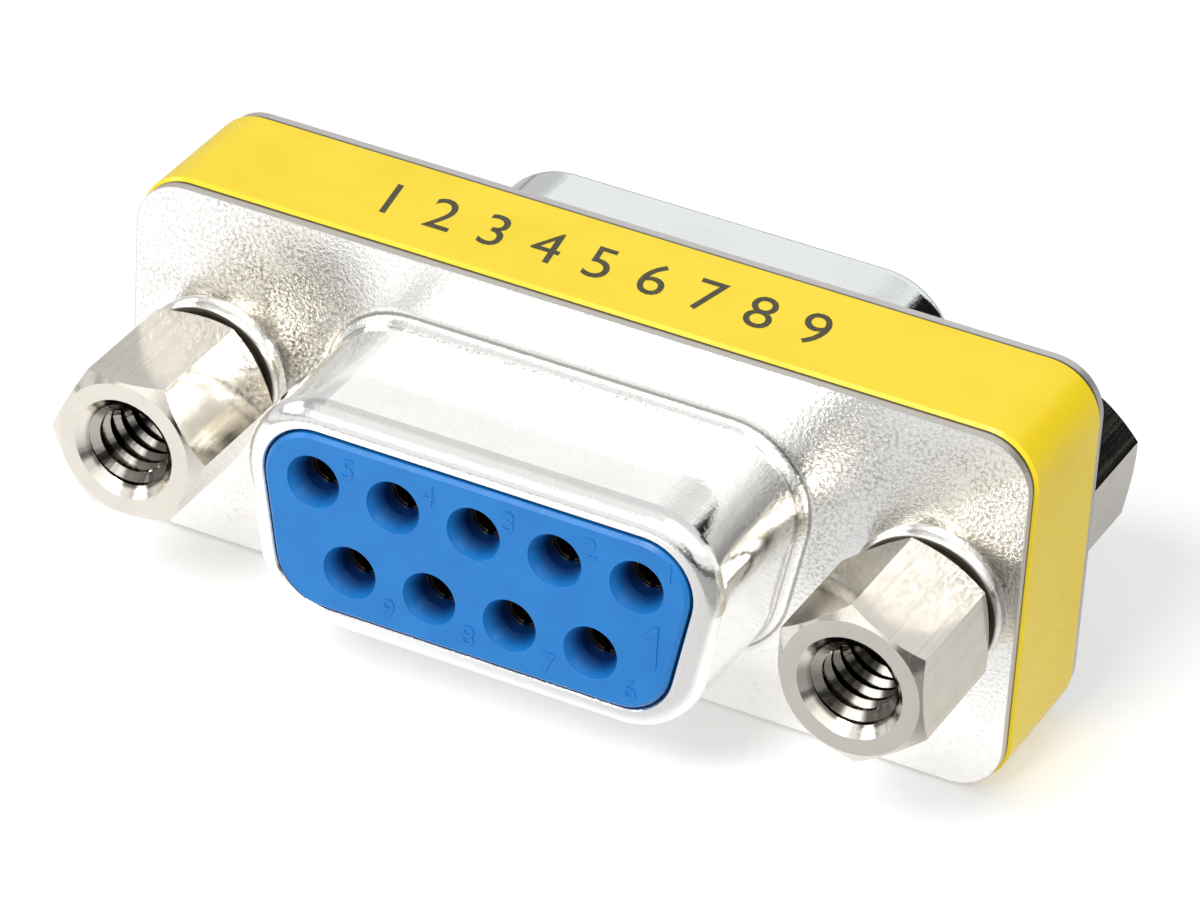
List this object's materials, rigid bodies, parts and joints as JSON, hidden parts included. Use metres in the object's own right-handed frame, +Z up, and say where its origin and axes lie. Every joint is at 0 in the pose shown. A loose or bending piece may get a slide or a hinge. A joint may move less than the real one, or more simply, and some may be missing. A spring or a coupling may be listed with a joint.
{
  "type": "d-sub gender changer",
  "caption": "Slim adapter with a D-shaped socket face on both sides and hexagonal jack screws, to join two D-sub plugs.",
  "frame": {"origin": "middle of the band's bottom face, halfway between the front and rear faces", "axes": "+X along the long side, to the right seen from the front face; +Y from the front face to the rear one; +Z up, towards the row of five contacts"},
  "size_m": [0.031, 0.0178, 0.0127],
  "materials": {
    "plated_shell": "bright tin or nickel plating with a fine grain",
    "screw_plate": "bright nickel plating on turned brass or steel",
    "eyelet_plate": "bright nickel plating",
    "band_plastic": "smooth yellow moulding",
    "insulator_plastic": "blue thermoplastic with a soft sheen",
    "contact_plate": "thin gold flash over brass",
    "board_laminate": "green glass-fibre laminate"
  },
  "bodies": {
    "root": {"centre_band": "band_plastic", "front_contact_1": "contact_plate", "front_contact_2": "contact_plate", "front_contact_3": "contact_plate", "front_contact_4": "contact_plate", "front_contact_5": "contact_plate", "front_contact_6": "contact_plate", "front_contact_7": "contact_plate", "front_contact_8": "contact_plate", "front_contact_9": "contact_plate", "front_insulator": "insulator_plastic", "front_shell": "plated_shell", "left_eyelet": "eyelet_plate", "left_jack_nut": "screw_plate", "left_jack_screw": "screw_plate", "link_board": "board_laminate", "rear_contact_1": "contact_plate", "rear_contact_2": "contact_plate", "rear_contact_3": "contact_plate", "rear_contact_4": "contact_plate", "rear_contact_5": "contact_plate", "rear_contact_6": "contact_plate", "rear_contact_7": "contact_plate", "rear_contact_8": "contact_plate", "rear_contact_9": "contact_plate", "rear_insulator": "insulator_plastic", "rear_shell": "plated_shell", "right_eyelet": "eyelet_plate", "right_jack_nut": "screw_plate", "right_jack_screw": "screw_plate"}
  },
  "joints": []
}
